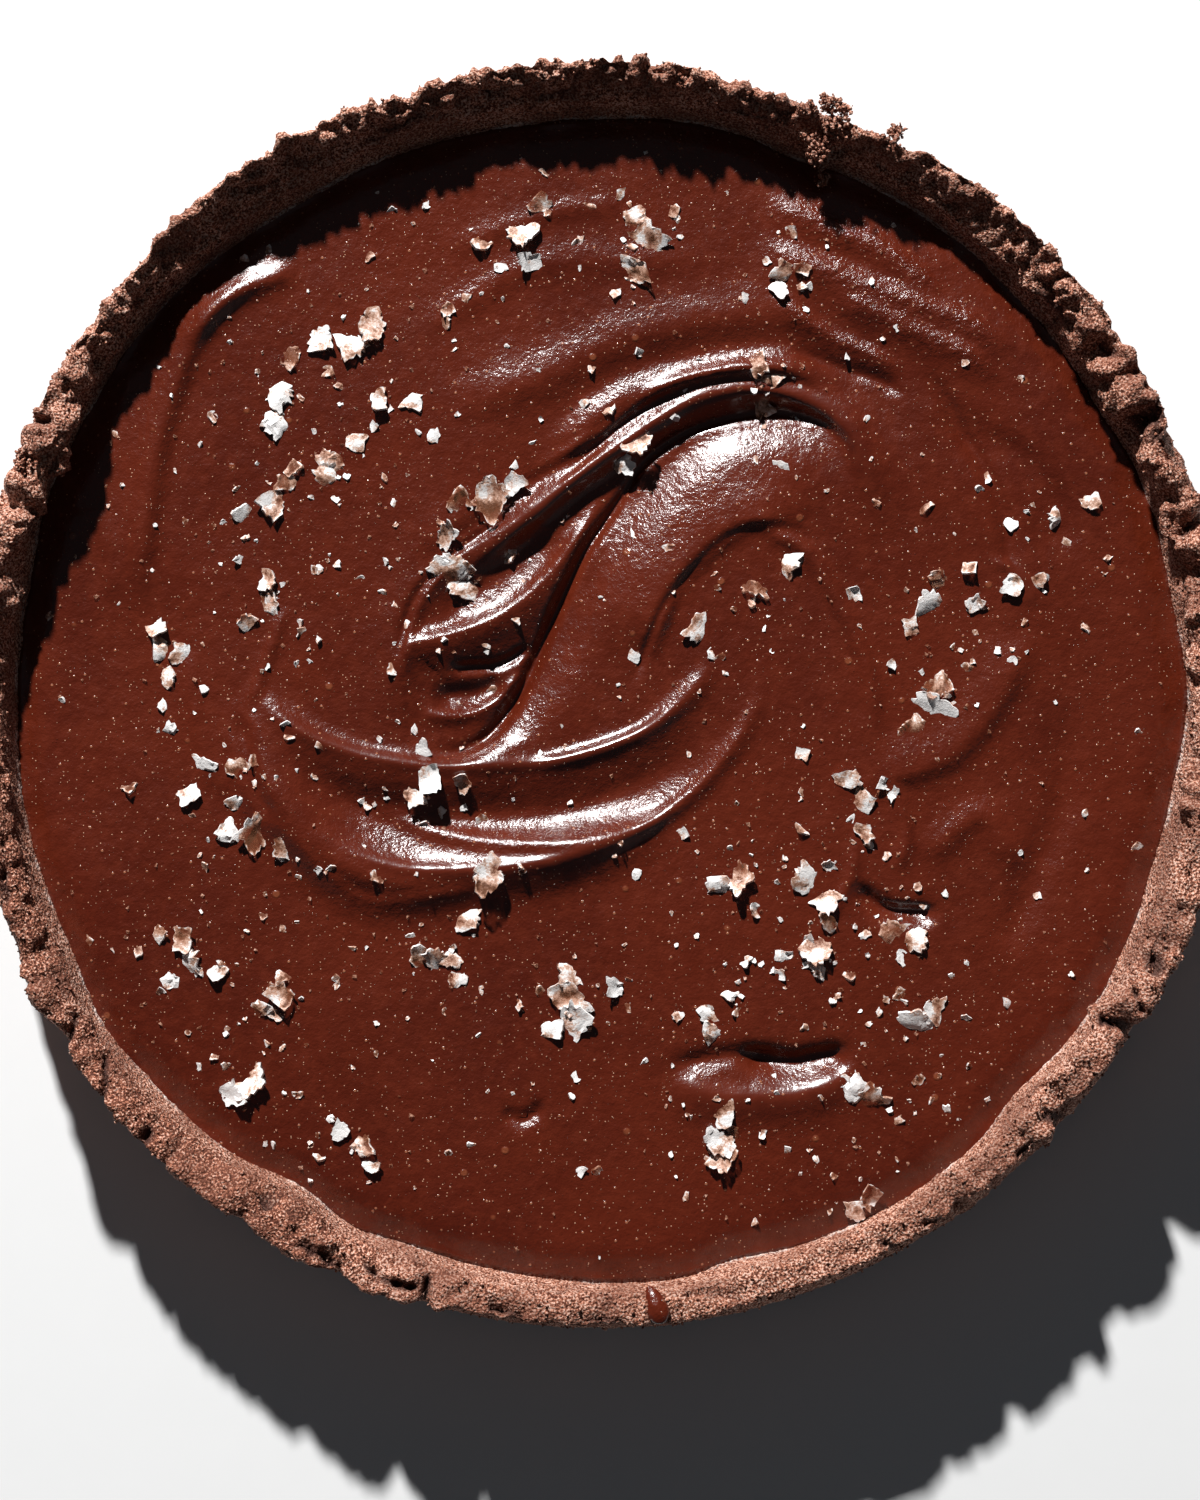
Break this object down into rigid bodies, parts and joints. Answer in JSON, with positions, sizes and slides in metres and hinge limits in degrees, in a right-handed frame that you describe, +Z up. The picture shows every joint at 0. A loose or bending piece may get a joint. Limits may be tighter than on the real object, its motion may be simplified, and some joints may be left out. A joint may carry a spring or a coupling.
{
  "type": "chocolate tahini tart",
  "caption": "Whole round tart: a straight-sided dark crumb crust with a ragged rim around a swirled glossy chocolate filling, strewn with flaky salt.",
  "frame": {"origin": "centre of the flat underside", "axes": "+Z up out of the filling, +Y towards the far side of the tart, +X to its right"},
  "size_m": [0.23, 0.23, 0.0299],
  "materials": {
    "crumb_crust": "dry, sandy dark cocoa crumb",
    "ganache": "wet gloss with fine sesame specks",
    "salt": "white to clear flakes"
  },
  "bodies": {
    "root": {"crust": "crumb_crust", "filling": "ganache"}
  },
  "joints": []
}
